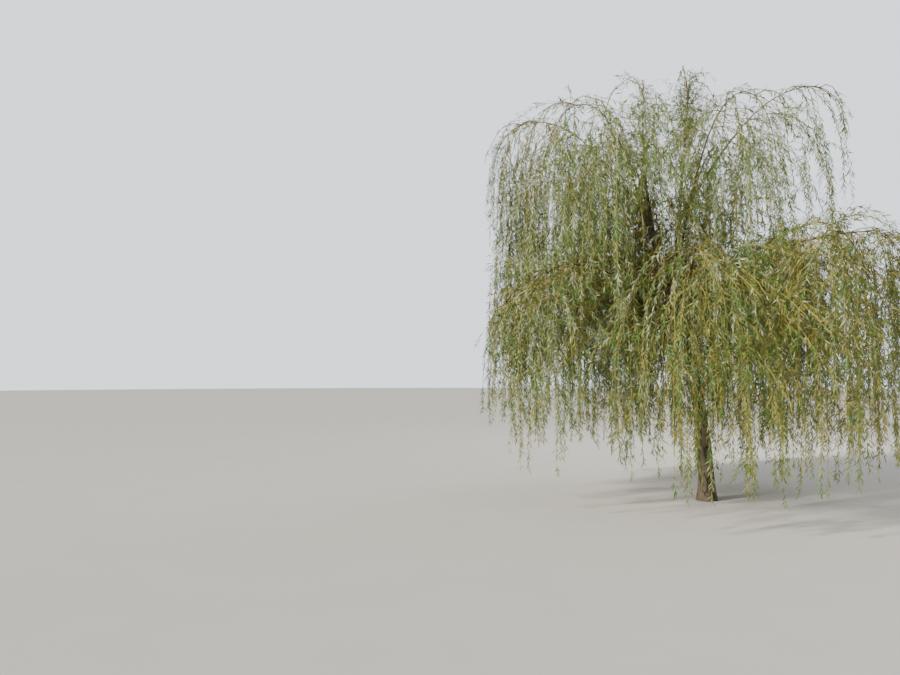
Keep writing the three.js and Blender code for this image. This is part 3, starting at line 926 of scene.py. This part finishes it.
# Twigs
def lineObject(name, lines, radii, leafiness=None, coarse=True):
    # Open lines as a mesh of edges, with what the node trees read: radius, share of the length, how leafy
    # the line is, and heading
    verts, edges, radius, ahead, share, leafy = [], [], [], [], [], []
    for number, points in enumerate(lines):
        # A coarse line keeps every third point past the bend at its root
        last = len(points) - 1
        points = points[[k for k in range(last + 1) if not coarse or k < 4 or k % 3 == 0 or k == last]]
        leafy += [leafiness[number] if leafiness else 1.0] * len(points)
        first = len(verts)
        verts += points.tolist()
        edges += [(first + k, first + k + 1) for k in range(len(points) - 1)]
        ahead += waysAlong(points).tolist()
        steps = np.linspace(0, 1, len(points))
        share += steps.tolist()
        radius += mix(*radii, steps).tolist()
    mesh = bpy.data.meshes.new(name)
    mesh.from_pydata(verts, edges, [])
    store(mesh, radiusHere=radius, shareHere=share, leafyHere=leafy, headingHere=ahead)
    return newObject(name, mesh)


def newTree(name, inputs):
    tree = bpy.data.node_groups.new(name, "GeometryNodeTree")
    tree.interface.new_socket("Geometry", in_out="OUTPUT", socket_type="NodeSocketGeometry")
    for label, kind in {"Geometry": "Geometry", **inputs}.items():
        tree.interface.new_socket(label, in_out="INPUT", socket_type="NodeSocket" + kind)
    graph = Graph(tree)
    sockets = tree.nodes.new("NodeGroupInput").outputs
    return graph, {socket.name: Wire(graph, socket) for socket in sockets if socket.name}


def closeTree(graph, geometry, material):
    real = graph.node("GeometryNodeRealizeInstances", {"Geometry": geometry})
    shaded = graph.node("GeometryNodeSetMaterial", {"Geometry": real, "Material": material})
    graph.node("NodeGroupOutput", {"Geometry": shaded})
    return graph.tree


def named(graph, label, kind="FLOAT"):
    return graph.node("GeometryNodeInputNamedAttribute", {"Name": label}, "Attribute", data_type=kind)


def twigTree():
    inputs = {"Sides": "Int", "Thickness": "Float", "Material": "Material"}
    graph, given = newTree("twigs on their lines", inputs)
    curve = graph.node("GeometryNodeMeshToCurve", {"Mesh": given["Geometry"]})
    radius = named(graph, "radiusHere") * given["Thickness"]
    ring = {"Resolution": given["Sides"], "Radius": 1.0}
    profile = graph.node("GeometryNodeCurvePrimitiveCircle", ring, mode="RADIUS")
    swept = {"Curve": curve, "Profile Curve": profile, "Scale": radius, "Fill Caps": True}
    tube = graph.node("GeometryNodeCurveToMesh", swept)
    return closeTree(graph, tube, given["Material"])


def grow(lineMesh, tree, values, name):
    # Runs a node tree on a copy of the lines and keeps the plain mesh that comes out
    piece = newObject(name, lineMesh.data)
    modifier = piece.modifiers.new("grow", "NODES")
    modifier.node_group = tree
    for item in tree.interface.items_tree:
        if item.in_out == "INPUT" and item.name in values:
            modifier[item.identifier] = values[item.name]
    bpy.context.view_layer.update()
    evaluated = piece.evaluated_get(bpy.context.evaluated_depsgraph_get())
    mesh = bpy.data.meshes.new_from_object(evaluated)
    piece.modifiers.clear()
    piece.data = mesh
    mesh.name = name
    for label in [attribute.name for attribute in mesh.attributes if attribute.name.endswith("Here")]:
        mesh.attributes.remove(mesh.attributes[label])
    return piece


twigs = {
    "thickness": 1.0,  # times each line's own radius
    "sides": 3,
    "strandSides": 5,
    "golden": (paint("d0bc5c"), paint("ae943f")),
    "olive": (paint("93884e"), paint("756e3e")),
    "brown": (paint("6d5c40"), paint("8a7a4e")),
    "roughness": (0.45, 0.2),  # at its smoothest, and what its spots add
    "patches": (3.5, 40),  # how many to a metre, large and small
    "smallPatches": 0.35,  # their share in the colour
    "seed": 77,
}


goldenBark = mottled("golden shoots", twigs["golden"], twigs, 0.4)
oliveBark = mottled("olive shoots", twigs["olive"], twigs, 0.4)
brownBark = mottled("branchlet bark", twigs["brown"], twigs, 0.35)
draw = seeded(twigs["seed"])
isGolden = [draw() < fine["golden"] for shoot in shoots]
goldenShoots = [shoot for shoot, golden in zip(shoots, isGolden) if golden]
oliveShoots = [shoot for shoot, golden in zip(shoots, isGolden) if not golden]
mainStrands = [line for mass in masses for line in mass["strands"]]
tubes = twigTree()
twigPieces = []
for name, lines, radii, sides, material in (
    ("strands", mainStrands, strand["radius"], twigs["strandSides"], brownBark),
    ("golden", goldenShoots, fine["radius"], twigs["sides"], goldenBark),
    ("olive", oliveShoots, fine["radius"], twigs["sides"], oliveBark),
    ("side", sideShoots, fine["sideRadius"], twigs["sides"], oliveBark),
    ("long", fountains, fountain["radius"], twigs["sides"], goldenBark),
):
    lineMesh = lineObject(name + "Lines", lines, radii)
    values = {"Sides": sides, "Thickness": twigs["thickness"], "Material": material}
    twigPieces.append(grow(lineMesh, tubes, values, "twigs_" + name))
    bpy.data.objects.remove(lineMesh)
    print("twigs %s: %d faces" % (name, len(twigPieces[-1].data.polygons)))

# Leaves
leaves = {
    "inputs": {
        "Pitch": 0.0118,
        "Length": 0.079,
        "Width": 0.0116,
        "Spread": math.radians(40),
        "Droop": 0.25,
        "Spray Length": 0.28,
        "Turn": 2.4,  # from one leaf to the next
        "Thinner On Top": 0.4,
        "Thin From": 3.4,  # the heights between which they get thinner
        "Thin To": 5.2,
    },
    "roughness": (0.42, 0.15),
    "patches": (4, 26),
    "smallPatches": 0.55,
    "seed": 3,
    # name, share of all leaves, two tones
    "colours": [
        ("silver", 0.19, paint("a5b08c"), paint("c0c8a8")),
        ("sage", 0.21, paint("7a8a54"), paint("919f6a")),
        ("green", 0.26, paint("43651f"), paint("638b39")),
        ("olive", 0.22, paint("596224"), paint("707836")),
        ("straw", 0.12, paint("848238"), paint("9c984c")),
    ],
}


# A narrow blade: root, widest pair, a point on its fuller side, and a tip that bends back
blade = bpy.data.meshes.new("blade")
corners = [(0, 0, 0), (-0.44, 0.36, 0.02), (0.48, 0.3, -0.03), (0.36, 0.68, -0.04), (-0.05, 1, -0.13)]
blade.from_pydata(corners, [], [(0, 2, 1), (1, 2, 3), (1, 3, 4)])


def leafTree():
    numbers = dict.fromkeys([*leaves["inputs"], "Colours From", "Colours To"], "Float")
    inputs = {"Leaf": "Object", **numbers, "Seed": "Int", "Material": "Material"}
    graph, given = newTree("leaves along shoots", inputs)

    def chance(low, high, offset, **number):
        values = {"Min": low, "Max": high, "Seed": given["Seed"] + offset, **number}
        return graph.node("FunctionNodeRandomValue", values, "Value", data_type="FLOAT")

    curve = graph.node("GeometryNodeMeshToCurve", {"Mesh": given["Geometry"]})
    spaced = {"Curve": curve, "Length": given["Pitch"]}
    dotted = graph.node("GeometryNodeResampleCurve", spaced, mode="LENGTH")
    index = graph.node("GeometryNodeInputIndex")
    position = graph.node("GeometryNodeInputPosition")
    spline = graph.node("GeometryNodeCurveOfPoint", output="Curve Index")
    reached = graph.node("GeometryNodeSplineParameter", output="Length")
    spray = spline * 97 + graph.maths("FLOOR", reached / given["Spray Length"])
    # Most leaves have their spray's colour, and some their own
    ownWay = chance(0.0, 1.0, 1) > 0.7
    tint = mix(chance(0.0, 1.0, 2, ID=spray), chance(0.0, 1.0, 3), ownWay)
    # Silver at the top and on the left, gold at the foot and on the right
    place = graph.maths("DOT_PRODUCT", position, (0.6, 0.0, -1.0))
    golder = between(graph, place, -6.0, 0.0) * 0.64 - 0.33
    tint = graph.maths("MINIMUM", graph.maths("MAXIMUM", tint + golder, 0.0), 0.9999)
    chosen = (tint > given["Colours From"]) * (tint < given["Colours To"])
    # Sprays differ in how full they are, thinner in the upper crown, and shoots are barer near their roots
    height = graph.maths("DOT_PRODUCT", position, (0.0, 0.0, 1.0))
    thin = between(graph, height, given["Thin From"], given["Thin To"]) * given["Thinner On Top"]
    full = chance(0.35, 1.0, 10, ID=spray) * (1 - thin)
    chosen = chosen * (full * named(graph, "leafyHere") > chance(0.0, 1.0, 11))
    chosen = chosen * (named(graph, "shareHere") > chance(0.0, 0.3, 12))
    # Leaves stand in turn on one side and the other, and droop
    ahead = graph.maths("NORMALIZE", named(graph, "headingHere", "FLOAT_VECTOR"))
    angle = index * given["Turn"] + chance(-0.5, 0.5, 4)
    bearing = graph.triple(graph.maths("COSINE", angle), graph.maths("SINE", angle), 0.0)
    side = graph.maths("NORMALIZE", graph.maths("CROSS_PRODUCT", ahead, bearing))
    spread = given["Spread"] * chance(0.35, 1.65, 5)
    sag = graph.triple(0.0, 0.0, 0.0 - given["Droop"] * chance(0.3, 1.7, 6))
    along = ahead * graph.maths("COSINE", spread) + side * graph.maths("SINE", spread) + sag
    turned = graph.node("FunctionNodeAlignRotationToVector", {"Vector": along}, axis="Y")
    # Blades turn their faces outwards, more or less
    outside = position * (1.0, 1.0, 0.15) + (0.3, 0.0, 0.3)
    facing = {"Rotation": turned, "Vector": outside}
    turned = graph.node("FunctionNodeAlignRotationToVector", facing, axis="Z", pivot_axis="Y")
    twist = {"Axis": (0.0, 1.0, 0.0), "Angle": chance(-1.2, 1.2, 7)}
    rolled = {"Rotation": turned, "Rotate By": graph.node("FunctionNodeAxisAngleToRotation", twist)}
    turned = graph.node("FunctionNodeRotateRotation", rolled, rotation_space="LOCAL")
    size = chance(0.7, 1.25, 8) * given["Length"]
    scale = graph.triple(given["Width"] * chance(0.8, 1.2, 9), size, size)
    leaf = graph.node("GeometryNodeObjectInfo", {"Object": given["Leaf"]}, "Geometry")
    leafed = {"Points": dotted, "Selection": chosen, "Instance": leaf, "Rotation": turned, "Scale": scale}
    placed = graph.node("GeometryNodeInstanceOnPoints", leafed)
    return closeTree(graph, placed, given["Material"])


leafy = shoots + sideShoots + mainStrands
leafiness = [1.0] * len(leafy) + [fountain["leafiness"]] * len(fountains)
leafLines = lineObject("leafLines", leafy + fountains, (1, 1), leafiness, False)
shape = newObject("leafShape", blade)
sprays = leafTree()
leafPieces = []
first = 0.0
for name, portion, *tones in leaves["colours"]:
    values = {
        "Leaf": shape, **leaves["inputs"], "Colours From": first, "Colours To": first + portion,
        "Seed": leaves["seed"], "Material": mottled(name + " leaves", tones, leaves, 0.45),
    }
    leafPieces.append(grow(leafLines, sprays, values, "leaves_" + name))
    first += portion
    print("leaves %s: %d faces" % (name, len(leafPieces[-1].data.polygons)))
bpy.data.objects.remove(leafLines)
bpy.data.objects.remove(shape)

# What stands for what
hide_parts("trunk", "leader_left", "leader_centre")
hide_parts(*[limb["name"] for limb in limbs[2:]])
for piece in (barkTrunk, barkBoughs, *twigPieces):
    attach(piece, "root")
for piece in leafPieces:
    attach(piece, "root")
for piece in (*twigPieces, *leafPieces):
    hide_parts(*[mass["name"] for mass in masses])

# Floor, light and camera
studio = {
    "floorSize": 150.0,
    "floorTones": (paint("d9d6cf"), paint("e2dfd8")),
    "sky": paint("dfe6ee"),
    "skyStrength": 0.34,
    "backdropRadius": 80.0,
    "backdropStrength": 2.0,
    "lights": [
        # name, kind, place, size, power and colour
        ("key", "SUN", (-8.0, -8.5, 9.5), 0.1, 5.2, (1.0, 0.95, 0.86)),
        ("fill", "AREA", (9.0, -6.0, 5.0), 8.0, 220, (0.9, 0.95, 1.0)),
        ("back", "AREA", (3.0, 9.0, 8.0), 6.0, 400, (1.0, 0.98, 0.94)),
    ],
}
photoCamera = {
    "place": (0.0, -9.7, 1.55),
    "turn": 19.22,  # degrees to the left of straight ahead
    "rise": 2.94,
    "focal": 29.2,
    "sensor": 36.0,
}


def buildFloor():
    half = studio["floorSize"] / 2
    corners = [(x * half, y * half, 0) for x, y in ((-1, -1), (1, -1), (1, 1), (-1, 1))]
    mesh = bpy.data.meshes.new("floor")
    mesh.from_pydata(corners, [], [(0, 1, 2, 3)])

    def build(graph):
        place = graph.node("ShaderNodeTexCoord", output="Object")
        return {"Base Color": graph.blend(noise(graph, place, 1.3, 3), *studio["floorTones"])}

    mesh.materials.append(newMaterial("floor", build, {"Roughness": 0.95}))
    newObject("floor", mesh)


def buildBackdrop():
    # A pale dome that only the camera sees, so that it adds no light
    bpy.ops.mesh.primitive_uv_sphere_add(segments=48, ring_count=24, radius=studio["backdropRadius"])
    dome = bpy.context.active_object
    dome.name = "backdrop"
    for way in ("diffuse", "glossy", "transmission", "volume_scatter", "shadow"):
        setattr(dome, "visible_" + way, False)
    material = bpy.data.materials.new("backdrop")
    material.use_nodes = True
    nodes = material.node_tree.nodes
    shader = nodes.new("ShaderNodeEmission")
    shader.inputs["Color"].default_value = studio["sky"]
    shader.inputs["Strength"].default_value = studio["backdropStrength"]
    material.node_tree.links.new(shader.outputs[0], nodes["Material Output"].inputs["Surface"])
    dome.data.materials.append(material)


def buildLight(name, kind, place, size, power, colour):
    data = bpy.data.lights.new(name, kind)
    if kind == "SUN":
        data.angle = size
    else:
        data.shape = "DISK"
        data.size = size
    data.energy = power
    data.color = colour
    lamp = newObject(name, data)
    lamp.location = place
    lamp.rotation_euler = (Vector((0, 0, 2.6)) - Vector(place)).to_track_quat("-Z", "Y").to_euler()


def buildCamera():
    data = bpy.data.cameras.new("camera")
    data.lens = photoCamera["focal"]
    data.sensor_width = photoCamera["sensor"]
    data.clip_end = 300
    camera = newObject("camera", data)
    camera.location = photoCamera["place"]
    camera.rotation_euler = (math.radians(90 + photoCamera["rise"]), 0, math.radians(photoCamera["turn"]))
    bpy.context.scene.camera = camera


buildFloor()
buildBackdrop()
for light in studio["lights"]:
    buildLight(*light)
world = bpy.data.worlds.new("studio")
world.use_nodes = True
background = world.node_tree.nodes["Background"]
background.inputs["Color"].default_value = studio["sky"]
background.inputs["Strength"].default_value = studio["skyStrength"]
bpy.context.scene.world = world
buildCamera()
bpy.context.view_layer.update()
